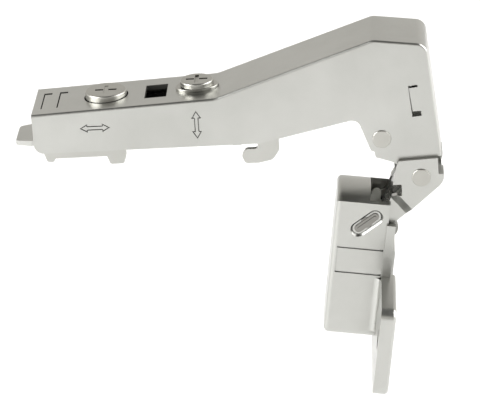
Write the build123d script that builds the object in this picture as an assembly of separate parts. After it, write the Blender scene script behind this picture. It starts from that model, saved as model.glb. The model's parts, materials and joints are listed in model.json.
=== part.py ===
from build123d import *
import os
from math import atan2, cos, radians, sin, tan

# Blind corner cabinet hinge, drawn open, in millimetres.
# X runs along the arm's base towards the cup, Y along the pivots, away from the viewer, and Z up.
# The origin is the middle of the front hooks' mouths, where the arm hangs on its mounting plate.

# Sheet, gaps and fits
arm_sheet = 1.1
carriage_sheet = 1.1
link_sheet = 1.0
cup_wall = 0.9
side_gap = 0.12
running_gap = 0.04
fixed_gap = 0.02

# Arm
arm_width = 16.6
arm_rear_x = -46.9
arm_bottom_z = 0.95
arm_rear_height = 8.95
rear_top_slope = 2.6
kink_x = -7.0
crank_slope = 18.5
peak_x = 27.6
front_top_slope = 7.5
web_foot_x = 41.33
web_foot_z = -3.9
web_lean = 5.0
front_corner_radius = 2.6
long_bend_radius = 0.5
crank_foot_x = 2.2
underside_slope = 12.2
throat_x = 23.5
throat_radius = 2.0

# Pivots on the arm
pivot_a_x = 28.54
pivot_a_z = 0.63
pivot_b_x = 36.68
pivot_b_z = -8.3
pivot_b_boss_radius = 2.75
rivet_radius = 1.5
rivet_head_radius = 2.05
rivet_head_height = 0.3

# Cup, in its own frame: w down the door, y along the pivots, s out of the door face
cup_origin_x = 27.05
cup_origin_z = -30.86
door_lean = 8.5
cup_radius = 17.5
cup_half_width = 7.6
cup_depth = 11.4
cup_edge_radius = 1.1
rim_height = 0.35
notch_floor_s = -4.1
notch_edge_w = -11.2
groove_width = 0.42
groove_depth = 0.3
fine_line_width = 0.15
fine_line_depth = 0.1
groove_1_w = -5.1
groove_2_w = 0.8

# Flange
rim_plate_half_width = 8.4
rim_plate_thickness = 1.95
wing_thickness = 3.3
wing_half_span = 26.5
wing_top_w = 1.0
wing_bottom_w = 21.5
wing_corner_radius = 2.2
wing_edge_radius = 0.8
wing_root_radius = 1.5
wing_root_end_w = 14.6
screw_pitch_circle = 45.0
screw_hole_offset = 9.5
screw_hole_radius = 2.2
screw_sink_radius = 3.1
screw_sink_depth = 0.9

# Pivots in the cup
pivot_c_w = -9.16
pivot_c_s = -0.4
pivot_c_radius = 1.25
pivot_c_slack = 0.55
eye_shift_x = 0.47
eye_shift_z = -0.13
pivot_d_w = -11.0
pivot_d_s = -4.4
pivot_d_radius = 1.25
stud_head_length = 6.2
stud_head_width = 1.7
pocket_length = 8.1
pocket_width = 3.5
pocket_depth = 0.62
pocket_taper = 38
pocket_angle = 42.6

# Outer link
fold_angle = 38.7
fold_start = 6.4
fold_length = 2.4
lower_plate_gap = 0.25
link_top_z = -3.95
link_front_x = 41.6
link_shoulder_x = 40.45
link_shoulder_z = -7.65
link_corner_z = -9.5
link_corner_radius = 3.4
fold_start_edge = -4.3
fold_end_edge = -5.1
outer_link_web_share = 0.78
web_notch_half_width = 3.4
web_notch_depth = 1.8
web_notch_radius = 1.2
link_eye_radius = 2.4
cam_lobe_radius = 5.5

# Inner link
inner_link_half_width = 4.2
inner_link_band = 1.75
inner_eye_a_radius = 2.6
inner_eye_c_radius = 2.65
spacer_radius = 2.5

# Pivot bracket in the cup
bracket_sheet = 0.9
bracket_half_width = 5.3
tongue_tip_w = -14.4
tongue_low_s = -3.5
tongue_high_s = -1.4
bracket_top_w = -12.6
bracket_bottom_w = -5.0

# Clip carriage and hooks
carriage_top_z = 7.3
carriage_rear_x = -45.6
carriage_front_x = 6.26
seat_z = -0.8
foot_z = -2.65
hook_bottom_z = -4.0
mouth_height = 1.4
mouth_front_x = 1.6

# Adjusting slide and screws
slide_thickness = 1.1
slide_gap = 0.12
slide_half_width = 5.6
slide_front_x = -6.5
depth_screw_x = -31.1
depth_head_radius = 4.55
depth_head_proud = 1.4
depth_head_sunk = 0.6
depth_hole_radius = 4.85
depth_neck_radius = 2.95
depth_cam_offset = 1.8
depth_cam_radius = 1.0
depth_cam_gap = 0.2
depth_travel = 1.56
side_screw_x = -11.1
side_head_radius = 3.65
side_head_thickness = 1.15
side_head_proud = 2.0
side_shank_radius = 2.0
side_foot_radius = 1.4
side_button_radius = 2.4
side_button_height = 0.9
bush_length = 9.4
bush_width = 6.0
bush_height = 0.7
bush_neck_radius = 2.7
bush_thread_gap = 0.3
tilt_pin_x = -43.6
tilt_pin_radius = 0.8
tilt_pin_half_length = 5.2
knuckle_radius = 1.4
tilt_pin_z = 7.3
lug_thickness = 1.2

# Release lever
lever_pin_x = -42.6
lever_pin_z = 3.3
lever_pin_radius = 1.0
lever_side_gap = 0.55
lever_tab_x = -51.4
lever_tab_z = 2.75
lever_sheet = 0.95

# Springs
closing_wire = 0.7
closing_turns = 6.0
closing_coil_radius = 2.2
release_wire = 0.5
release_turns = 4.0
release_coil_radius = 1.55

# Damper in the cup
damper_radius = 2.5
damper_axis_s = -5.2
damper_start_w = -0.6
damper_end_w = 12.2
damper_rod_radius = 0.9
slider_rest_w = -8.5
slider_arm_length = 3.2
slider_bar_length = 1.4
housing_top_s = 0.8
housing_wall_gap = 0.25

# Marks and openings in the sheet
recess_length = 1.8
recess_width = 0.8
recess_gap = 1.1
recess_depth = 1.0
window_x = -20.1
window_length = 4.8
window_width = 7.8
slit_width = 0.28
slit_half_length = 4.7
slit_bar_length = 1.8
slit_bar_width = 0.9
slit_1_x = -45.2
slit_2_x = -41.7
mark_line = 0.22
tongue_gap = 0.12
mark_depth = 0.28


# How a round bar stands on its place
standing = (Align.CENTER, Align.CENTER, Align.MIN)

# Derived sizes
arm_half = arm_width / 2
arm_inner = arm_half - arm_sheet
arm_rear_top_z = arm_bottom_z + arm_rear_height
kink_z = arm_rear_top_z + tan(radians(rear_top_slope)) * (kink_x - arm_rear_x)
peak_z = kink_z + tan(radians(crank_slope)) * (peak_x - kink_x)
web_lean_t = tan(radians(web_lean))
front_slope_t = tan(radians(front_top_slope))
corner_drop = front_slope_t * (web_foot_x + web_lean_t * web_foot_z - peak_x)
corner_z = (peak_z - corner_drop) / (1 - front_slope_t * web_lean_t)
corner_x = web_foot_x - web_lean_t * (corner_z - web_foot_z)
link_inner = arm_half + side_gap
link_outer = link_inner + link_sheet
cup_inner = cup_half_width - cup_wall
cup_inner_radius = cup_radius - cup_wall
cup_floor_s = cup_wall - cup_depth
lower_outer = cup_inner - lower_plate_gap
lower_inner = lower_outer - link_sheet
carriage_half = arm_inner - side_gap
carriage_inner = carriage_half - carriage_sheet
carriage_web_z = carriage_top_z - carriage_sheet
lever_half_width = carriage_inner - lever_side_gap
slide_bottom_z = carriage_top_z + slide_gap
slide_top_z = slide_bottom_z + slide_thickness


def top_z(x):
    """Height of the arm's flat rear top at x."""
    return arm_rear_top_z + tan(radians(rear_top_slope)) * (x - arm_rear_x)


def cup_point(w, s):
    """Place of a point of the cup's own frame, in X and Z."""
    lean = radians(door_lean)
    x = cup_origin_x + cos(lean) * s - sin(lean) * w
    z = cup_origin_z - sin(lean) * s - cos(lean) * w
    return x, z


pivot_c_x, pivot_c_z = cup_point(pivot_c_w, pivot_c_s)
pivot_d_x, pivot_d_z = cup_point(pivot_d_w, pivot_d_s)

cup_plane = Plane(
    origin=(cup_origin_x, 0, cup_origin_z),
    x_dir=(-sin(radians(door_lean)), 0, -cos(radians(door_lean))),
    z_dir=(cos(radians(door_lean)), 0, -sin(radians(door_lean))),
)


def outline(corners):
    """Closed face from corners of (across, up, corner radius)."""
    points = [(across, up) for across, up, _ in corners]
    radii = [radius for _, _, radius in corners]
    return make_face(FilletPolyline(*points, radius=radii, close=True))


def slab(face, low_y, high_y):
    """A side view, drawn in X and Z or in the cup's w and s, made solid from low_y to high_y."""
    plane = Plane(origin=(0, high_y, 0), x_dir=(1, 0, 0), z_dir=(0, -1, 0))
    return extrude(plane * face, amount=high_y - low_y)


def pair(face, inner_y, outer_y):
    """The same plate on the near and the far side."""
    return slab(face, inner_y, outer_y) + slab(face, -outer_y, -inner_y)


def rod(x, z, radius, low_y, high_y):
    """A round bar along Y."""
    return slab(Pos(x, z) * Circle(radius), low_y, high_y)


def upright(x, y, radius, low_z, high_z):
    """A round bar along Z."""
    return Pos(x, y, low_z) * Cylinder(radius, high_z - low_z, align=standing)


def block(low, high):
    """A box between two opposite corners."""
    size = [b - a for a, b in zip(low, high)]
    return Pos(*low) * Box(*size, align=(Align.MIN, Align.MIN, Align.MIN))


def shifted(points, distance):
    """A run of points moved sideways, to the right of its direction."""
    moved = []
    for i, (x, z) in enumerate(points):
        before = points[max(i - 1, 0)]
        after = points[min(i + 1, len(points) - 1)]
        into = atan2(z - before[1], x - before[0]) if i > 0 else atan2(after[1] - z, after[0] - x)
        out = atan2(after[1] - z, after[0] - x) if i < len(points) - 1 else into
        middle = (into + out) / 2
        reach = distance / cos((out - into) / 2)
        moved.append((x + sin(middle) * reach, z - cos(middle) * reach))
    return moved


def coil(wire, turns, radius, low_y):
    """Close wound wire about the Y axis, starting at low_y."""
    pitch = wire * 1.12
    path = Helix(pitch=pitch, height=pitch * turns, radius=radius)
    start = Plane(origin=path @ 0, z_dir=path % 0)
    wound = sweep(start * Circle(wire / 2), path=path)
    return Pos(0, low_y, 0) * (Rot(-90, 0, 0) * wound)


# Arm
def arm_profile():
    """Side view of the arm, without its pivot ends."""
    under_z = arm_bottom_z + tan(radians(underside_slope)) * (throat_x - crank_foot_x)
    step_x = pivot_a_x - 2.45
    step_z = pivot_a_z - 2.65
    return outline([
        (arm_rear_x, arm_bottom_z, 2.1),
        (arm_rear_x, arm_rear_top_z, 0),
        (kink_x, kink_z, 6.0),
        (peak_x, peak_z, 3.0),
        (corner_x, corner_z, front_corner_radius),
        (web_foot_x, web_foot_z, 0),
        (pivot_b_x + 3.5, web_foot_z, 0),
        (pivot_b_x + 2.3, pivot_b_z + 3.45, 0.5),
        (pivot_b_x + 2.9, pivot_b_z + 1.8, 0.6),
        (pivot_b_x + 2.7, pivot_b_z, 0),
        (pivot_b_x - 2.7, pivot_b_z, 0),
        (pivot_b_x - 3.2, pivot_b_z + 1.6, 0.8),
        (step_x + 4.4, step_z - 2.7, 1.0),
        (step_x + 0.95, step_z - 1.5, 0.4),
        (step_x + 0.75, step_z - 0.2, 0.3),
        (step_x, step_z + 0.1, 0.3),
        (throat_x, under_z, throat_radius),
        (crank_foot_x, arm_bottom_z, 3.0),
    ])


def arm_channel():
    """Cranked channel of folded sheet, open below and behind."""
    side = arm_profile() + Pos(pivot_b_x, pivot_b_z) * Circle(pivot_b_boss_radius)
    body = extrude(Plane.XZ * side, amount=arm_half, both=True)
    long_edges = [e for e in body.edges() if abs(abs(e.center().Y) - arm_half) < 0.001 and e.center().Z > 8]
    body = fillet(long_edges, long_bend_radius)
    spine = [
        (arm_rear_x - 5, top_z(arm_rear_x - 5)),
        (kink_x, kink_z),
        (peak_x, peak_z),
        (corner_x, corner_z),
        (web_foot_x + web_lean_t * 20, web_foot_z - 20),
    ]
    inside = shifted(spine, arm_sheet)
    below = [(inside[-1][0], -40.0), (arm_rear_x - 5, -40.0)]
    hollow = outline([(x, z, 0) for x, z in inside + below])
    body -= extrude(Plane.XZ * hollow, amount=arm_inner, both=True)
    body -= arm_openings()
    body += tilt_lugs()
    body -= rod(tilt_pin_x, tilt_pin_z, tilt_pin_radius + running_gap, -arm_inner, arm_inner)
    for side_sign in (-1, 1):
        body = with_tongue(body, side_sign)
        body -= arrow_marks(side_sign)
    return body


def arm_openings():
    """Holes and slits through the arm's top and the pivot holes in its sides."""
    high = peak_z
    cuts = upright(depth_screw_x, 0, depth_hole_radius, carriage_top_z, high)
    cuts += upright(side_screw_x, 0, bush_neck_radius + fixed_gap, carriage_top_z, high)
    half_window = window_length / 2
    cuts += block(
        (window_x - half_window, -window_width / 2, carriage_top_z),
        (window_x + half_window, window_width / 2, high),
    )
    for slit_x in (slit_1_x, slit_2_x):
        cuts += block(
            (slit_x, -slit_half_length, tilt_pin_z + 1),
            (slit_x + slit_width, slit_half_length, high),
        )
        cuts += block(
            (slit_x, slit_half_length - slit_bar_width, tilt_pin_z + 1),
            (slit_x + slit_bar_length, slit_half_length, high),
        )
    cuts += rod(pivot_a_x, pivot_a_z, rivet_radius + fixed_gap, -arm_width, arm_width)
    cuts += rod(pivot_b_x, pivot_b_z, rivet_radius + running_gap, -arm_width, arm_width)
    return cuts


def tilt_lugs():
    """Ears below the arm's top that hold the tilt pin."""
    inner_y = slide_half_width - 2.2
    reach = top_z(tilt_pin_x) - arm_sheet / 2 - tilt_pin_z
    face = Pos(tilt_pin_x, tilt_pin_z) * Circle(knuckle_radius)
    face += Pos(tilt_pin_x, tilt_pin_z + reach / 2) * Rectangle(2 * knuckle_radius, reach)
    return pair(face, inner_y, inner_y + lug_thickness)


def with_tongue(body, side_sign):
    """Lance a tongue from a side plate and press its lower end inwards."""
    left, low, width, height, lean = 35.35, 5.45, 2.0, 7.1, 4.4
    outer = outline([
        (left, low, 0),
        (left + width, low + 0.15, 0),
        (left + width - lean / 7, low + height + 0.2, 0),
        (left - lean / 7, low + height, 0),
    ])
    inner = outline([
        (left + tongue_gap, low + 1.2, 0),
        (left + width, low + 1.3, 0),
        (left + width - lean / 7, low + height - 0.35, 0),
        (left - lean / 7 + tongue_gap, low + height - 0.5, 0),
    ])
    low_y, high_y = sorted((side_sign * (arm_inner - 0.01), side_sign * (arm_half + 0.01)))
    body -= slab(outer, low_y, high_y)
    low_y, high_y = sorted((side_sign * (arm_inner - 0.05), side_sign * (arm_half - 0.05)))
    body += slab(inner, low_y, high_y)
    joint_face = outline([
        (left + width - 0.5, low + 1.3, 0),
        (left + width + 0.05, low + 1.3, 0),
        (left + width - lean / 7 + 0.05, low + height - 0.35, 0),
        (left + width - lean / 7 - 0.5, low + height - 0.35, 0),
    ])
    return body + slab(joint_face, low_y, high_y)


def arrow_outline(length, half_shaft, half_head, head_length):
    """Outline of a double-headed arrow as a thin line."""
    half = length / 2
    neck = half - head_length
    right = [(neck, half_shaft), (neck, half_head), (half, 0), (neck, -half_head), (neck, -half_shaft)]
    left = [(-x, -y) for x, y in right]
    shape = make_face(Polyline(*right, *left, close=True))
    return shape - offset(shape, -mark_line)


def arrow_marks(side_sign):
    """Two shallow stamped arrows, for the depth and the side adjustment."""
    low_y, high_y = sorted((side_sign * (arm_half - mark_depth), side_sign * (arm_half + 1)))
    along = Pos(-33.3, 6.35) * arrow_outline(6.6, 0.5, 1.0, 1.7)
    across = Pos(-11.2, 6.0) * Rot(0, 0, 90) * arrow_outline(6.5, 0.5, 1.1, 1.8)
    return slab(along, low_y, high_y) + slab(across, low_y, high_y)


# Carriage
def clip_carriage():
    """Inner channel with the front hooks and the rear feet, which clips on the mounting plate."""
    mouth_top = mouth_height / 2
    lip_top = -mouth_height / 2
    side = outline([
        (carriage_rear_x, carriage_top_z, 0.8),
        (carriage_front_x, carriage_top_z, 1.5),
        (carriage_front_x, -1.2, 1.6),
        (carriage_front_x - 1.6, hook_bottom_z + 0.6, 1.6),
        (carriage_front_x - 4.6, hook_bottom_z, 1.4),
        (mouth_front_x - 2.9, hook_bottom_z, 0.9),
        (mouth_front_x - 3.6, hook_bottom_z + 1.9, 1.0),
        (mouth_front_x - 2.6, lip_top, 0.8),
        (mouth_front_x, lip_top, 0.6),
        (mouth_front_x, mouth_top, 0.5),
        (mouth_front_x - 3.1, mouth_top, 0.2),
        (mouth_front_x - 3.6, mouth_top - 0.35, 0.2),
        (mouth_front_x - 5.4, mouth_top - 0.35, 0.2),
        (mouth_front_x - 5.9, arm_bottom_z + 0.6, 0.2),
        (-27.05, arm_bottom_z + 0.6, 0),
        (-27.1, seat_z, 0.3),
        (-27.7, foot_z, 0.7),
        (-30.7, foot_z, 0.6),
        (-31.3, seat_z, 0.3),
        (-42.6, seat_z, 0.3),
        (-43.0, foot_z + 1.1, 0.6),
        (-44.4, foot_z + 1.1, 0.6),
        (-45.0, seat_z + 1.2, 0.5),
        (carriage_rear_x, arm_bottom_z + 0.6, 0.5),
    ])
    body = extrude(Plane.XZ * side, amount=carriage_half, both=True)
    hollow = block(
        (carriage_rear_x - 1, -carriage_inner, -20),
        (carriage_front_x + 1, carriage_inner, carriage_web_z),
    )
    body -= hollow
    relief = block(
        (carriage_rear_x - 1, -carriage_inner, carriage_web_z - 1),
        (tilt_pin_x + knuckle_radius + depth_travel + 0.4, carriage_inner, carriage_top_z + 1),
    )
    body -= relief
    slot_half = depth_cam_radius + depth_cam_gap
    slot = SlotOverall(2 * (depth_cam_offset + slot_half), 2 * slot_half)
    cam_slot = Plane(origin=(depth_screw_x, 0, carriage_web_z - 1)) * Rot(0, 0, 90) * slot
    body -= extrude(cam_slot, amount=4)
    free = side_button_radius + 0.3
    travel_slot = SlotOverall(2 * (free + depth_travel), 2 * free)
    body -= extrude(Plane(origin=(side_screw_x, 0, carriage_web_z - 1)) * travel_slot, amount=4)
    body -= rod(lever_pin_x, lever_pin_z, lever_pin_radius + fixed_gap, -arm_width, arm_width)
    return body


# Adjustment
def adjusting_slide():
    """Flat slide on the carriage, which carries both screws and the arm's tilt pin."""
    body = block(
        (tilt_pin_x + knuckle_radius + 0.3, -slide_half_width, slide_bottom_z),
        (slide_front_x, slide_half_width, slide_top_z),
    )
    body = fillet(body.edges().filter_by(Axis.Z).group_by(Axis.X)[-1], 1.5)
    inner_y = slide_half_width - 2.2 - running_gap
    tail = block(
        (tilt_pin_x, -inner_y, slide_bottom_z),
        (tilt_pin_x + knuckle_radius + 1, inner_y, slide_top_z),
    )
    body += tail
    body += rod(tilt_pin_x, tilt_pin_z, knuckle_radius, -inner_y, inner_y)
    body -= rod(tilt_pin_x, tilt_pin_z, tilt_pin_radius + fixed_gap, -arm_inner, arm_inner)
    body -= upright(depth_screw_x, 0, depth_neck_radius + running_gap, carriage_top_z, slide_top_z + 1)
    body -= upright(side_screw_x, 0, side_foot_radius + running_gap, carriage_top_z, slide_top_z + 1)
    return body


def driver_recess(x, top, cross_depth):
    """Two deep slots for the driver's blade, with a shallower one across them."""
    middle = recess_gap / 2 + recess_length / 2
    cut = Pos(x, 0, top) * Box(recess_width, 2 * middle + recess_length, 2 * cross_depth)
    for slot_x in (x - middle, x + middle):
        cut += Pos(slot_x, 0, top) * Box(recess_length, recess_width, 2 * recess_depth)
    return cut


def depth_cam_screw():
    """Broad rear screw whose off-centre pin drives the slide along the carriage."""
    surface = top_z(depth_screw_x)
    high = surface + depth_head_proud
    low = surface - depth_head_sunk
    head = upright(depth_screw_x, 0, depth_head_radius, low, high)
    head = fillet(head.edges().group_by(Axis.Z)[-1], 0.35)
    head -= driver_recess(depth_screw_x, high, 0.1)
    body = head + upright(depth_screw_x, 0, depth_neck_radius, slide_bottom_z, low + 0.1)
    collar = upright(depth_screw_x, 0, depth_head_radius - 0.6, slide_top_z + 0.05, low)
    body += collar
    pin_low = carriage_web_z + 0.1
    pin = upright(depth_screw_x, -depth_cam_offset, depth_cam_radius, pin_low, slide_bottom_z + 0.1)
    return body + pin


def side_adjust_screw():
    """Front screw that lifts the arm on its thread and turns in the slide."""
    surface = top_z(side_screw_x)
    high = surface + side_head_proud
    head = upright(side_screw_x, 0, side_head_radius, high - side_head_thickness, high)
    head = fillet(head.edges().group_by(Axis.Z)[-1], 0.4)
    head -= driver_recess(side_screw_x, high, 0.35)
    shank = upright(side_screw_x, 0, side_shank_radius, slide_top_z + 0.03, high - 0.3)
    foot = upright(side_screw_x, 0, side_foot_radius, slide_bottom_z - 0.08, slide_top_z + 0.1)
    button_top = slide_bottom_z - 0.06
    button = upright(side_screw_x, 0, side_button_radius, button_top - side_button_height, button_top)
    return head + shank + foot + button


def side_screw_bush():
    """Oval threaded bush pressed into the arm's top."""
    surface = top_z(side_screw_x)
    slope = radians(rear_top_slope)
    seat = Plane(
        origin=(side_screw_x, 0, surface),
        x_dir=(cos(slope), 0, sin(slope)),
        z_dir=(-sin(slope), 0, cos(slope)),
    )
    body = extrude(seat * SlotOverall(bush_length, bush_width), amount=bush_height)
    body = fillet(body.edges().group_by(Axis.Z)[-1], 0.25)
    body -= extrude(Plane.XZ * arm_profile(), amount=arm_half, both=True)
    body += upright(side_screw_x, 0, bush_neck_radius, surface - arm_sheet - 0.1, surface + 0.3)
    body -= upright(side_screw_x, 0, side_shank_radius + bush_thread_gap, surface - 3, surface + 3)
    return body


def tilt_pin():
    """Pin on which the arm tips on the slide."""
    return rod(tilt_pin_x, tilt_pin_z, tilt_pin_radius, -tilt_pin_half_length, tilt_pin_half_length)


# Release lever
def release_lever():
    """Rear lever with the finger tab and the catch for the mounting plate."""
    tab_low = lever_tab_z - lever_sheet
    side = outline([
        (lever_tab_x, lever_tab_z, 0.35),
        (lever_pin_x - 1.6, lever_tab_z + 0.35, 0.6),
        (lever_pin_x - 0.9, lever_pin_z + 1.9, 0.8),
        (lever_pin_x + 1.9, lever_pin_z + 1.9, 1.6),
        (lever_pin_x + 1.9, lever_pin_z - 1.0, 0.8),
        (lever_pin_x + 0.6, -1.2, 0.4),
        (lever_pin_x - 1.3, -1.2, 0.3),
        (lever_pin_x - 1.0, 0.2, 0.3),
        (lever_pin_x - 1.5, tab_low, 0.8),
        (lever_tab_x, tab_low - 0.1, 0.3),
    ])
    body = extrude(Plane.XZ * side, amount=lever_half_width, both=True)
    plan = outline([
        (lever_tab_x, -4.3, 1.5),
        (lever_tab_x + 3.6, -lever_half_width, 1.5),
        (lever_pin_x + 6, -lever_half_width, 0),
        (lever_pin_x + 6, lever_half_width, 0),
        (lever_tab_x + 3.6, lever_half_width, 1.5),
        (lever_tab_x, 4.3, 1.5),
    ])
    body &= extrude(Plane(origin=(0, 0, -10)) * plan, amount=30)
    gap_half = release_turns * release_wire * 0.65 + 0.4
    spring_room = block(
        (lever_pin_x - 2.5, -gap_half, lever_tab_z + 0.2),
        (lever_pin_x + 2.5, gap_half, lever_pin_z + 4),
    )
    spring_room += rod(lever_pin_x, lever_pin_z, release_coil_radius + release_wire, -gap_half, gap_half)
    body -= spring_room
    body -= rod(lever_pin_x, lever_pin_z, lever_pin_radius + running_gap, -arm_width, arm_width)
    return body


def release_lever_pin():
    """Pin of the release lever, held in the carriage's sides."""
    return rod(lever_pin_x, lever_pin_z, lever_pin_radius, -carriage_half, carriage_half)


def release_spring():
    """Small coil spring that returns the release lever."""
    length = release_turns * release_wire * 1.12
    wound = coil(release_wire, release_turns, release_coil_radius, -length / 2)
    return Pos(lever_pin_x, 0, lever_pin_z) * wound


# Links
def link_direction():
    """Unit direction of the outer link from its arm pivot towards the cup."""
    angle = radians(180 + fold_angle)
    return cos(angle), sin(angle)


def along_link(u, v):
    """Point at u along the outer link and v to its upper left, from its arm pivot."""
    ux, uz = link_direction()
    return pivot_b_x + ux * u + uz * v, pivot_b_z + uz * u - ux * v


def outer_link():
    """Folded link outside the arm's plates, stepped inwards to enter the cup."""
    fold_end = fold_start + fold_length
    corners = [
        (31.85, -4.3, 0.6),
        (link_shoulder_x, link_top_z, 0),
        (link_shoulder_x, link_shoulder_z, 0),
        (link_front_x, link_shoulder_z, 0),
        (link_front_x, link_corner_z, link_corner_radius),
        (*along_link(fold_start, fold_start_edge), 0),
        (*along_link(fold_end, fold_end_edge), 0),
        (29.2, -20.75, 0.6),
        (*cup_point(*cam_point(cam_lobe_radius, -18)), 0.6),
    ]
    for angle in range(-30, -91, -10):
        share = (90 + angle) / 60
        lobe_radius = link_eye_radius + (cam_lobe_radius - link_eye_radius) * share
        corners.append((*cup_point(*cam_point(lobe_radius, angle)), 0))
    for angle in range(-105, -211, -15):
        corners.append((*cup_point(*cam_point(link_eye_radius, angle)), 0))
    corners += [
        (28.6, -16.9, 1.0),
        (30.1, -13.3, 0.5),
        (31.2, -12.4, 0.3),
        (32.35, -12.4, 0.2),
        (32.35, -9.75, 0.25),
        (30.4, -9.75, 0.2),
    ]
    shape = outline(corners)
    plates = extrude(Plane.XZ * shape, amount=link_outer + 1, both=True)
    section = [
        (-20, link_inner),
        (fold_start - 0.35, link_inner),
        (fold_end - 0.35, lower_inner),
        (30, lower_inner),
        (30, lower_outer),
        (fold_end, lower_outer),
        (fold_start, link_outer),
        (-20, link_outer),
    ]
    ux, uz = link_direction()
    fold_plane = Plane(origin=(pivot_b_x, 0, pivot_b_z), x_dir=(ux, 0, uz), z_dir=(-uz, 0, ux))
    near = make_face(Polyline(*section, close=True))
    far = mirror(near, about=Plane.XZ)
    bent = extrude(fold_plane * (near + far), amount=30, both=True)
    body = plates & bent
    body += outer_link_web()
    body -= rod(pivot_b_x, pivot_b_z, rivet_radius + fixed_gap, -arm_width, arm_width)
    body -= rod(pivot_d_x, pivot_d_z, pivot_d_radius + running_gap, -arm_width, arm_width)
    return body


def outer_link_web():
    """Bent strip that joins the outer link's two plates in front, notched for the arm's web."""
    bend = (link_front_x, link_corner_z)
    end = point_between(bend, along_link(fold_start, fold_start_edge), outer_link_web_share)
    path = [(link_front_x, link_shoulder_z), bend, end]
    inside = shifted(path, link_sheet)
    face = outline([
        (*path[0], 0),
        (*path[1], link_corner_radius),
        (*path[2], 0),
        (*inside[2], 0),
        (*inside[1], link_corner_radius - link_sheet),
        (*inside[0], 0),
    ])
    web = extrude(Plane.XZ * face, amount=link_outer, both=True)
    web -= block(
        (link_front_x - 3 * link_sheet, -web_notch_half_width, link_shoulder_z - web_notch_depth),
        (link_front_x + 1, web_notch_half_width, link_shoulder_z + 1),
    )
    shoulders = [
        edge for edge in web.edges().filter_by(Axis.X)
        if abs(edge.center().Z - link_shoulder_z) < 0.01
        and abs(abs(edge.center().Y) - web_notch_half_width) < 0.01
    ]
    return fillet(shoulders, web_notch_radius)


def cam_point(radius, angle):
    """Point about the outer link's cup pivot, with its angle from straight out of the cup."""
    turn = radians(angle)
    return pivot_d_w - radius * sin(turn), pivot_d_s + radius * cos(turn)


def band(points, half):
    """Strip of even width about a run of points, with rounded bends."""
    right = shifted(points, half)
    left = shifted(points, -half)
    round_at = [0] + [2.5] * (len(points) - 2) + [0]
    corners = [(x, z, r) for (x, z), r in zip(right, round_at)]
    corners += [(x, z, r) for (x, z), r in zip(left[::-1], round_at[::-1])]
    return outline(corners)


def inner_link_path():
    """Middle line of the inner link, bowed towards the front to pass the arm's edge."""
    return [
        (pivot_a_x, pivot_a_z),
        (32.7, -5.6),
        (32.7, -12.4),
        (30.3, -17.6),
        (pivot_c_x, pivot_c_z),
    ]


def inner_link():
    """Bowed channel link between the arm and the cup, with an open eye on the cup's pin."""
    eye_x = pivot_c_x + eye_shift_x
    eye_z = pivot_c_z + eye_shift_z
    path = inner_link_path()
    strip = band(path, inner_link_band)
    face = strip + Pos(pivot_a_x, pivot_a_z) * Circle(inner_eye_a_radius)
    face += Pos(eye_x, eye_z) * Circle(inner_eye_c_radius)
    body = pair(face, inner_link_half_width - link_sheet, inner_link_half_width)
    edge = shifted(path[:4], inner_link_band)
    inside = shifted(path[:4], inner_link_band - link_sheet)
    edge[0] = point_between(edge[0], edge[1], 0.5)
    inside[0] = point_between(inside[0], inside[1], 0.5)
    edge[3] = point_between(edge[3], edge[2], 0.35)
    inside[3] = point_between(inside[3], inside[2], 0.35)
    radii = (0, 2.5, 2.5, 0)
    corners = [(x, z, r) for (x, z), r in zip(edge, radii)]
    corners += [(x, z, r) for (x, z), r in zip(inside[::-1], radii[::-1])]
    body += extrude(Plane.XZ * outline(corners), amount=inner_link_half_width, both=True)
    body -= rod(pivot_a_x, pivot_a_z, rivet_radius + running_gap, -arm_width, arm_width)
    eye_radius = pivot_c_radius + pivot_c_slack
    body -= rod(eye_x, eye_z, eye_radius, -arm_width, arm_width)
    return body


def point_between(start, end, share):
    """Point at a share of the way between two points."""
    return start[0] + (end[0] - start[0]) * share, start[1] + (end[1] - start[1]) * share


# Pins and rivets
def flush_head(x, z, radius, height, side_sign, face_y):
    """Low rounded rivet head on a side plate."""
    low_y, high_y = sorted((side_sign * face_y, side_sign * (face_y + height)))
    head = rod(x, z, radius, low_y, high_y)
    rims = [e for e in head.edges() if abs(abs(e.center().Y) - face_y - height) < 0.001]
    return fillet(rims, height * 0.8)


def inner_link_arm_pin():
    """Through pin of the inner link, riveted over on both sides of the arm."""
    body = rod(pivot_a_x, pivot_a_z, rivet_radius, -arm_half, arm_half)
    for side_sign in (-1, 1):
        body += flush_head(pivot_a_x, pivot_a_z, rivet_head_radius, rivet_head_height, side_sign, arm_half)
    return body


def outer_link_rivets():
    """Two rivets that join the outer link to the arm's plates."""
    rivets = []
    for side_sign in (-1, 1):
        low_y, high_y = sorted((side_sign * (arm_inner - 0.6), side_sign * link_outer))
        body = rod(pivot_b_x, pivot_b_z, rivet_radius, low_y, high_y)
        low_y, high_y = sorted((side_sign * (arm_inner - 0.9), side_sign * (arm_inner - 0.1)))
        body += rod(pivot_b_x, pivot_b_z, rivet_head_radius, low_y, high_y)
        head = flush_head(pivot_b_x, pivot_b_z, rivet_head_radius, rivet_head_height, side_sign, link_outer)
        rivets.append(body + head)
    return Compound(children=rivets)


def inner_link_cup_pin():
    """Pin of the inner link in the cup's pivot bracket."""
    half = bracket_half_width + 0.05
    return rod(pivot_c_x, pivot_c_z, pivot_c_radius, -half, half)


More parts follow.
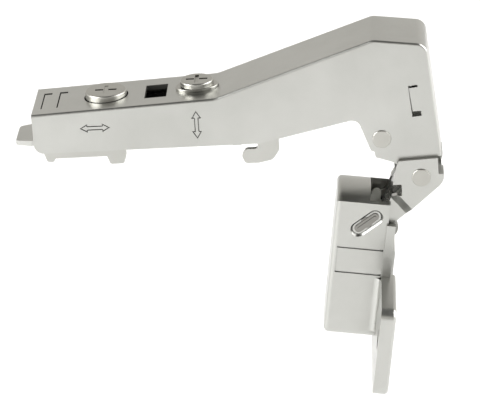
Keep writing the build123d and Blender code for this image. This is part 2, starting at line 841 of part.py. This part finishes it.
def outer_link_cup_studs():
    """Two studs with oblong heads that hold the outer link in the cup's sides."""
    studs = []
    floor_y = cup_half_width - pocket_depth
    head_face = SlotOverall(stud_head_length, stud_head_width)
    rib_face = SlotOverall(stud_head_length - 1.2, 0.55)
    for side_sign in (-1, 1):
        low_y, high_y = sorted((side_sign * (lower_inner + 0.05), side_sign * (floor_y + 0.1)))
        body = rod(pivot_d_x, pivot_d_z, pivot_d_radius, low_y, high_y)
        angle = pocket_angle - door_lean
        place = Pos(pivot_d_x, pivot_d_z) * Rot(0, 0, angle)
        low_y, high_y = sorted((side_sign * floor_y, side_sign * (floor_y + 0.25)))
        body += slab(place * head_face, low_y, high_y)
        low_y, high_y = sorted((side_sign * floor_y, side_sign * (floor_y + 0.42)))
        body += slab(place * rib_face, low_y, high_y)
        studs.append(body)
    return Compound(children=studs)


def inner_link_spacers():
    """Two plain bushes that centre the inner link in the arm."""
    spacers = []
    gap = 0.08
    for side_sign in (-1, 1):
        low_y, high_y = sorted((side_sign * (inner_link_half_width + gap), side_sign * (arm_inner - gap)))
        body = rod(pivot_a_x, pivot_a_z, spacer_radius, low_y, high_y)
        body -= rod(pivot_a_x, pivot_a_z, rivet_radius + fixed_gap, low_y, high_y)
        spacers.append(body)
    return Compound(children=spacers)


def closing_spring():
    """Coil spring on the inner link's pin, with one leg on the arm's web and one on the link."""
    length = closing_turns * closing_wire * 1.12
    wound = coil(closing_wire, closing_turns, closing_coil_radius, -length / 2)
    return Pos(pivot_a_x, 0, pivot_a_z) * wound


# Cup
def hinge_cup():
    """Deep-drawn cup with flat sides and its two screw wings, in one piece."""
    pot = Pos(0, 0, -cup_depth) * Cylinder(cup_radius, cup_depth + rim_height, align=standing)
    pot &= block((-cup_radius, -cup_half_width, -cup_depth), (cup_radius, cup_half_width, rim_height))
    floor_edges = pot.edges().group_by(Axis.Z)[0]
    lower_corners = pot.edges().filter_by(Axis.Z).group_by(Axis.X)[-1]
    pot = fillet(floor_edges + lower_corners, cup_edge_radius)
    rim = block(
        (notch_edge_w, -rim_plate_half_width, 0),
        (wing_bottom_w, rim_plate_half_width, rim_plate_thickness),
    )
    wings = block((wing_top_w, -wing_half_span, 0), (wing_bottom_w, wing_half_span, wing_thickness))
    corners = [e for e in wings.edges().filter_by(Axis.Z)]
    wings = fillet(corners, wing_corner_radius)
    wings = fillet(wings.edges().group_by(Axis.Z)[-1], wing_edge_radius)
    body = pot + rim + wings
    for side_sign in (-1, 1):
        body += wing_root(side_sign)
    cavity = Pos(0, 0, cup_floor_s) * Cylinder(cup_inner_radius, 40, align=standing)
    cavity &= block((-cup_radius, -cup_inner, cup_floor_s), (cup_radius, cup_inner, 20))
    body -= cavity
    body -= block((-cup_radius - 1, -cup_inner, notch_floor_s), (notch_edge_w, cup_inner, 20))
    for side_sign in (-1, 1):
        body -= pressed_lines(side_sign)
        body -= pivot_pocket(side_sign)
        hole_y = side_sign * screw_pitch_circle / 2
        body -= upright(screw_hole_offset, hole_y, screw_hole_radius, -5, 5)
        sink = Pos(screw_hole_offset, hole_y, wing_thickness - screw_sink_depth)
        body -= sink * Cone(screw_hole_radius, screw_sink_radius, screw_sink_depth, align=standing)
    return cup_plane.location * body


def wing_root(side_sign):
    """Rounded inside bend between a flat side of the cup and its wing."""
    start = cup_half_width - 0.3
    size = wing_root_radius
    low_y, high_y = sorted((side_sign * start, side_sign * (cup_half_width + size)))
    corner = block((wing_top_w + 0.8, low_y, -size), (wing_root_end_w, high_y, 0.2))
    axis_y = side_sign * (cup_half_width + size)
    tool = Pos(wing_top_w, axis_y, -size) * (Rot(0, 90, 0) * Cylinder(size, 80))
    return corner - tool


def pressed_lines(side_sign):
    """Two pressed lines across a flat side of the cup, joined by a finer one near its floor."""
    start_s = cup_edge_radius - cup_depth
    outer_y = side_sign * (cup_half_width + 1)
    low_y, high_y = sorted((side_sign * (cup_half_width - fine_line_depth), outer_y))
    lines = block((groove_1_w, low_y, start_s), (groove_2_w, high_y, start_s + fine_line_width))
    low_y, high_y = sorted((side_sign * (cup_half_width - groove_depth), outer_y))
    for line_w in (groove_1_w, groove_2_w):
        lines += block((line_w, low_y, start_s), (line_w + groove_width, high_y, -0.15))
    return lines


def pivot_pocket(side_sign):
    """Slanted oblong pocket with sloping sides for a stud's head, with the stud's hole in its floor."""
    slot = SlotOverall(pocket_length, pocket_width)
    face = Pos(pivot_d_w, pivot_d_s) * Rot(0, 0, pocket_angle + 90) * slot
    outside = Plane(origin=(0, cup_half_width, 0), x_dir=(1, 0, 0), z_dir=(0, -1, 0))
    cut = extrude(outside * face, amount=pocket_depth, taper=pocket_taper)
    hole = Pos(pivot_d_w, pivot_d_s) * Circle(pivot_d_radius + fixed_gap)
    cut += slab(hole, cup_inner - 1, cup_half_width - pocket_depth / 2)
    return cut if side_sign > 0 else mirror(cut, about=Plane.XZ)


def pivot_bracket():
    """Folded bracket on the cup's floor that holds the inner link's pin."""
    ear = outline([
        (bracket_top_w, cup_floor_s, 0),
        (bracket_bottom_w, cup_floor_s, 0),
        (bracket_bottom_w - 1.4, -2.0, 1.0),
        (-6.9, pivot_c_s + 1.9, 1.6),
        (-11.3, pivot_c_s + 1.9, 1.6),
        (-11.6, tongue_high_s, 0.4),
        (tongue_tip_w, tongue_high_s, 1.0),
        (tongue_tip_w, tongue_low_s, 1.0),
        (-12.4, tongue_low_s, 0.6),
    ])
    inner_y = bracket_half_width - bracket_sheet
    body = slab(ear, inner_y, bracket_half_width) + slab(ear, -bracket_half_width, -inner_y)
    body += block(
        (bracket_top_w, -bracket_half_width, cup_floor_s),
        (bracket_bottom_w, bracket_half_width, cup_floor_s + bracket_sheet),
    )
    hole = Pos(pivot_c_w, pivot_c_s) * Circle(pivot_c_radius + fixed_gap)
    body -= slab(hole, -arm_width, arm_width)
    return cup_plane.location * body


# Damper
def damper_housing():
    """Moulded block that fills the lower half of the cup and holds the damper."""
    radius = cup_inner_radius - housing_wall_gap
    half = cup_inner - housing_wall_gap
    body = Pos(0, 0, cup_floor_s) * Cylinder(radius, housing_top_s - cup_floor_s, align=standing)
    body &= block((damper_start_w, -half, cup_floor_s), (cup_radius, half, housing_top_s))
    body = fillet(body.edges().group_by(Axis.Z)[-1], 0.3)
    bore = Pos(damper_start_w - 1, 0, damper_axis_s) * (Rot(0, 90, 0) * Cylinder(
        damper_radius + fixed_gap, damper_end_w - damper_start_w + 1, align=standing))
    body -= bore
    for rib_w in (3.0, 6.0, 9.0):
        body -= block((rib_w, -half + 1.2, housing_top_s - 0.5), (rib_w + 1.4, half - 1.2, housing_top_s + 1))
    return cup_plane.location * body


def damper_cylinder():
    """Closed tube of the damper."""
    length = damper_end_w - damper_start_w
    turned = Rot(0, 90, 0)
    body = Pos(damper_start_w, 0, damper_axis_s) * (turned * Cylinder(damper_radius, length, align=standing))
    bore = turned * Cylinder(damper_radius - 0.5, length - 2.0, align=standing)
    mouth = turned * Cylinder(damper_rod_radius + running_gap, 4, align=standing)
    body -= Pos(damper_start_w + 1.2, 0, damper_axis_s) * bore
    body -= Pos(damper_start_w - 1, 0, damper_axis_s) * mouth
    return cup_plane.location * body


def damper_slider():
    """Yoke that the outer link's lobes push towards the damper."""
    nose_low = pivot_d_s - 1.25
    nose_high = pivot_d_s - 0.05
    bar_start = slider_rest_w + slider_arm_length
    bar_end = bar_start + slider_bar_length
    arm_face = outline([
        (slider_rest_w, nose_low, 0.2),
        (slider_rest_w, nose_high, 0.2),
        (bar_end, nose_high, 0.2),
        (bar_end, nose_low, 0.2),
    ])
    body = slab(arm_face, lower_inner + 0.02, lower_outer - 0.02)
    body += slab(arm_face, 0.02 - lower_outer, -lower_inner - 0.02)
    bar = outline([
        (bar_start, nose_high, 0),
        (bar_end, nose_high, 0),
        (bar_end, nose_low - 0.8, 0),
        (bar_start, nose_low - 0.8, 0),
    ])
    body += slab(bar, 0.02 - lower_outer, lower_outer - 0.02)
    return cup_plane.location * body


def damper_rod():
    """Piston rod with its piston, pushed by the yoke."""
    start = slider_rest_w + slider_arm_length + slider_bar_length
    turned = Rot(0, 90, 0)
    body = Pos(start, 0, damper_axis_s) * (turned * Cylinder(damper_rod_radius, 6.6, align=standing))
    body += Pos(start + 5.4, 0, damper_axis_s) * (turned * Cylinder(damper_radius - 0.54, 1.4, align=standing))
    return cup_plane.location * body


parts = {
    "arm_channel": arm_channel,
    "clip_carriage": clip_carriage,
    "adjusting_slide": adjusting_slide,
    "depth_cam_screw": depth_cam_screw,
    "side_adjust_screw": side_adjust_screw,
    "side_screw_bush": side_screw_bush,
    "tilt_pin": tilt_pin,
    "release_lever": release_lever,
    "release_lever_pin": release_lever_pin,
    "release_spring": release_spring,
    "outer_link": outer_link,
    "inner_link": inner_link,
    "inner_link_arm_pin": inner_link_arm_pin,
    "outer_link_rivets": outer_link_rivets,
    "inner_link_cup_pin": inner_link_cup_pin,
    "outer_link_cup_studs": outer_link_cup_studs,
    "inner_link_spacers": inner_link_spacers,
    "closing_spring": closing_spring,
    "hinge_cup": hinge_cup,
    "pivot_bracket": pivot_bracket,
    "damper_housing": damper_housing,
    "damper_cylinder": damper_cylinder,
    "damper_slider": damper_slider,
    "damper_rod": damper_rod,
}

os.makedirs("parts", exist_ok=True)
for name, make in parts.items():
    export_step(make(), f"parts/{name}.step")
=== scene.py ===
import bpy
import json
from mathutils import Matrix, Vector


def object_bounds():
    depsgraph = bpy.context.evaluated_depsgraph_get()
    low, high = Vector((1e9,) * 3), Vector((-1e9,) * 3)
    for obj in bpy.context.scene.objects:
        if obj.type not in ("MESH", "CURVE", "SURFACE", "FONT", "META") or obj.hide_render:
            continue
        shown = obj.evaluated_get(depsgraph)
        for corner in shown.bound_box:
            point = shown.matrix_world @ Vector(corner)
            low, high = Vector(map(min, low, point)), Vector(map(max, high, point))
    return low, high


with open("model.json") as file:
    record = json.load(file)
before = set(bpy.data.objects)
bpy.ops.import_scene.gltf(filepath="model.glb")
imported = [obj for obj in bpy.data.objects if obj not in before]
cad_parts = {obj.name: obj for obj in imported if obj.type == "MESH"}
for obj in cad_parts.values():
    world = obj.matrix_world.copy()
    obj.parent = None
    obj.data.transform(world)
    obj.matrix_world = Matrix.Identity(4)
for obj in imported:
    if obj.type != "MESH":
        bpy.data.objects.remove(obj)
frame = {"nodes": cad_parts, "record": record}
cad_box = [list(corner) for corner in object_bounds()]

# Photograph's view, found from the straight edges of the arm
image_width = 480
image_height = 414
focal_px = 2976.0
vanishing_px = (360.0, -1050.0)
arm_slope = 0.046
pixels_per_mm = 4.49
mm_per_metre = 1000
reference_px = (357.0, 258.0)
reference_point = Vector((0.0216, 0.0, -0.0308))
sensor_mm = 36.0
camera_near = 0.01
camera_far = 20.0
image_axes = (1.0, -1.0, -1.0)

# Painted shade: dark lines where two pieces meet, from ambient occlusion darkening the colour
painted_shade_reach = 0.0014
painted_shade_tone = 0.06
painted_shade_dark_at = 0.28
painted_shade_clear_at = 0.56

# Stains in the plating, and the fine grain that breaks up its gloss
stain_scale = 55.0
stain_detail = 4.0
stain_roughness = 0.55
stain_dark_at = 0.35
stain_light_at = 0.68
plated_grain = 900.0
turned_grain = 1400.0
moulded_grain = 1600.0
wire_grain = 1800.0
grain_detail = 3.0
grain_roughness = 0.6
even_grain = (1.0, 1.0, 1.0)
drawn_grain = (1.0, 1.0, 0.05)
glossier_by = 0.05
duller_by = 0.07
plated_dents = 0.2
moulded_dents = 0.5
dent_depth = 0.00002
# Weaker painted shade in the bracket's crevices
bracket_painted_shade_tone = 0.8

# Floor well below the hinge
floor_drop = 0.12
floor_size = 6.0
floor_tone = 0.93
floor_roughness = 0.8

# Soft panels to the left and right
left_place = (-1.5, -0.6, 0.9)
left_aim = (0.0, 0.0, -0.05)
left_size = (1.6, 1.4)
left_power = 50.0
right_place = (1.5, 0.1, 0.8)
right_aim = (0.02, 0.0, -0.05)
right_size = (1.8, 1.8)
right_power = 44.0

# Room's tones, by how steeply a direction points up
room_up = (0.0, -0.2, 1.0)
room_low_at = 0.30
room_low = (0.80, 0.78, 0.74, 1.0)
room_middle_at = 0.62
room_middle = (0.62, 0.605, 0.57, 1.0)
room_high_at = 0.74
room_high = (0.06, 0.06, 0.055, 1.0)


def photo_camera():
    """Camera that sees the hinge as the photograph does."""
    across = vanishing_px[0] - image_width / 2
    down = vanishing_px[1] - image_height / 2
    y_axis = Vector((across, down, focal_px)).normalized()
    x_axis = Vector((1.0, -arm_slope, 0.0))
    x_axis.z = -(x_axis.x * y_axis.x + x_axis.y * y_axis.y) / y_axis.z
    x_axis.normalize()
    z_axis = x_axis.cross(y_axis)
    depth = focal_px / pixels_per_mm / mm_per_metre
    right = (reference_px[0] - image_width / 2) / focal_px * depth
    below = (reference_px[1] - image_height / 2) / focal_px * depth
    seen = Vector((right, below, depth))
    to_model = Matrix((x_axis, y_axis, z_axis))
    place = reference_point - to_model @ seen
    turn = to_model @ Matrix.Diagonal(image_axes)
    data = bpy.data.cameras.new("photo_view")
    data.sensor_width = sensor_mm
    data.lens = focal_px * sensor_mm / image_width
    data.clip_start = camera_near
    data.clip_end = camera_far
    camera = bpy.data.objects.new("photo_view", data)
    camera.matrix_world = Matrix.Translation(place) @ turn.to_4x4()
    bpy.context.scene.collection.objects.link(camera)
    bpy.context.scene.camera = camera


def node_of(tree, kind, **values):
    """New shader node with its plain values set."""
    node = tree.nodes.new(kind)
    for name, value in values.items():
        node.inputs[name.replace("_", " ")].default_value = value
    return node


def ramp_of(tree, low_at, low, high_at, high):
    """New colour ramp between two colours."""
    node = tree.nodes.new("ShaderNodeValToRGB")
    node.color_ramp.elements[0].position = low_at
    node.color_ramp.elements[0].color = low
    node.color_ramp.elements[1].position = high_at
    node.color_ramp.elements[1].color = high
    return node


def metal(name, dark, light, roughness, metallic=1.0, grain=plated_grain,
          stretch=even_grain, dents=plated_dents, shade_tone=painted_shade_tone):
    """Plated or drawn metal with soft stains, painted shade in its crevices, and fine grain in
    its gloss and surface.
    """
    material = bpy.data.materials.new(name)
    material.use_nodes = True
    tree = material.node_tree
    links = tree.links
    shader = tree.nodes["Principled BSDF"]
    shader.inputs["Metallic"].default_value = metallic

    place = tree.nodes.new("ShaderNodeTexCoord")
    mapping = node_of(tree, "ShaderNodeMapping", Scale=stretch)
    links.new(place.outputs["Object"], mapping.inputs["Vector"])
    stain = node_of(tree, "ShaderNodeTexNoise", Scale=stain_scale, Detail=stain_detail,
                    Roughness=stain_roughness)
    fine = node_of(tree, "ShaderNodeTexNoise", Scale=grain, Detail=grain_detail,
                   Roughness=grain_roughness)
    links.new(place.outputs["Object"], stain.inputs["Vector"])
    links.new(mapping.outputs["Vector"], fine.inputs["Vector"])

    colour = ramp_of(tree, stain_dark_at, (*dark, 1.0), stain_light_at, (*light, 1.0))
    links.new(stain.outputs["Fac"], colour.inputs["Fac"])
    # Painted shade: ambient occlusion darkens the colour in crevices and where pieces meet
    occlusion = node_of(tree, "ShaderNodeAmbientOcclusion", Distance=painted_shade_reach)
    painted_shade = ramp_of(tree, painted_shade_dark_at, (shade_tone, shade_tone, shade_tone, 1.0),
                   painted_shade_clear_at, (1.0, 1.0, 1.0, 1.0))
    links.new(occlusion.outputs["AO"], painted_shade.inputs["Fac"])
    shade_darken = node_of(tree, "ShaderNodeMixRGB", Fac=1.0)
    shade_darken.blend_type = "MULTIPLY"
    links.new(colour.outputs["Color"], shade_darken.inputs["Color1"])
    links.new(painted_shade.outputs["Color"], shade_darken.inputs["Color2"])
    links.new(shade_darken.outputs["Color"], shader.inputs["Base Color"])

    gloss = node_of(tree, "ShaderNodeMapRange", To_Min=roughness - glossier_by,
                    To_Max=roughness + duller_by)
    links.new(fine.outputs["Fac"], gloss.inputs["Value"])
    links.new(gloss.outputs["Result"], shader.inputs["Roughness"])
    raised = node_of(tree, "ShaderNodeBump", Strength=dents, Distance=dent_depth)
    links.new(fine.outputs["Fac"], raised.inputs["Height"])
    links.new(raised.outputs["Normal"], shader.inputs["Normal"])
    return material


def moulded(name, dark, light, roughness):
    """Moulded plastic with a fine spark-eroded grain."""
    return metal(name, dark, light, roughness, metallic=0.0, grain=moulded_grain,
                 dents=moulded_dents)


# Each look: its darker and lighter colour, then its roughness
materials = {
    "nickel_steel": metal("satin_nickel", (0.445, 0.447, 0.425), (0.495, 0.497, 0.475), 0.30),
    "carriage_steel": metal("plain_nickel", (0.43, 0.43, 0.405), (0.48, 0.48, 0.455), 0.32),
    "screw_steel": metal("turned_nickel", (0.40, 0.395, 0.365), (0.46, 0.455, 0.425), 0.34,
                         grain=turned_grain),
    "dark_steel": metal("phosphated_steel", (0.05, 0.05, 0.047), (0.08, 0.08, 0.075), 0.45),
    "spring_steel": metal("oiled_wire", (0.16, 0.16, 0.16), (0.24, 0.24, 0.24), 0.35,
                          grain=wire_grain),
    "damper_steel": metal("drawn_tube", (0.5, 0.5, 0.51), (0.6, 0.6, 0.61), 0.28,
                          stretch=drawn_grain),
    "moulded_nylon": moulded("moulded_nylon", (0.40, 0.40, 0.385), (0.46, 0.46, 0.445), 0.5),
}

# Pieces that look different from the rest of their slot
node_materials = {
    # Painted light: the bracket is much lighter than the nickel, so it looks lit where it sits
    # in the cup's shadow
    "pivot_bracket": metal("painted_light_bracket", (0.86, 0.86, 0.82), (0.92, 0.92, 0.88), 0.42,
                           shade_tone=bracket_painted_shade_tone),
    "damper_slider": moulded("dark_slider", (0.10, 0.10, 0.10), (0.14, 0.14, 0.14), 0.5),
    # Painted shade: the inner link is a darkened copy of the nickel, standing in for the shade
    # inside the cup
    "inner_link": metal("painted_shade_link", (0.26, 0.26, 0.245), (0.32, 0.32, 0.305), 0.26),
    # Painted shade: the studs are a darkened copy of the nickel, standing in for the shade in
    # their pocket
    "outer_link_cup_studs": metal("painted_shade_studs", (0.20, 0.195, 0.18), (0.26, 0.255, 0.24), 0.24),
}

for part in frame["record"]["subparts"]:
    slot_material = materials[part["material_slot"]]
    piece = frame["nodes"][part["node"]]
    piece.data.materials.clear()
    piece.data.materials.append(node_materials.get(part["node"], slot_material))


def pale_floor():
    """Plain pale floor below the hinge."""
    height = cad_box[0][2] - floor_drop
    bpy.ops.mesh.primitive_plane_add(size=floor_size, location=(0.0, 0.0, height))
    floor = bpy.context.object
    floor.name = "floor"
    pale = bpy.data.materials.new("pale_floor")
    pale.use_nodes = True
    shader = pale.node_tree.nodes["Principled BSDF"]
    shader.inputs["Base Color"].default_value = (floor_tone, floor_tone, floor_tone, 1.0)
    shader.inputs["Roughness"].default_value = floor_roughness
    floor.data.materials.append(pale)
    return floor


floor = pale_floor()


def panel(name, place, aim, size, power):
    """Soft studio light panel aimed at a point."""
    data = bpy.data.lights.new(name, "AREA")
    data.shape = "RECTANGLE"
    data.size = size[0]
    data.size_y = size[1]
    data.energy = power
    light = bpy.data.objects.new(name, data)
    light.location = place
    light.rotation_mode = "QUATERNION"
    light.rotation_quaternion = (Vector(aim) - Vector(place)).to_track_quat("-Z", "Y")
    bpy.context.scene.collection.objects.link(light)


panel("left_panel", left_place, left_aim, left_size, left_power)
panel("right_panel", right_place, right_aim, right_size, right_power)


def studio_world():
    """Room that is light round the horizon and dark overhead."""
    world = bpy.data.worlds.new("studio")
    world.use_nodes = True
    tree = world.node_tree
    place = tree.nodes.new("ShaderNodeTexCoord")
    upward = tree.nodes.new("ShaderNodeVectorMath")
    upward.operation = "DOT_PRODUCT"
    upward.inputs[1].default_value = room_up
    tone = ramp_of(tree, room_low_at, room_low, room_high_at, room_high)
    tone.color_ramp.elements.new(room_middle_at).color = room_middle
    tree.links.new(place.outputs["Generated"], upward.inputs[0])
    tree.links.new(upward.outputs["Value"], tone.inputs["Fac"])
    tree.links.new(tone.outputs["Color"], tree.nodes["Background"].inputs["Color"])
    bpy.context.scene.world = world


studio_world()
bpy.context.scene.view_settings.view_transform = "Standard"
photo_camera()
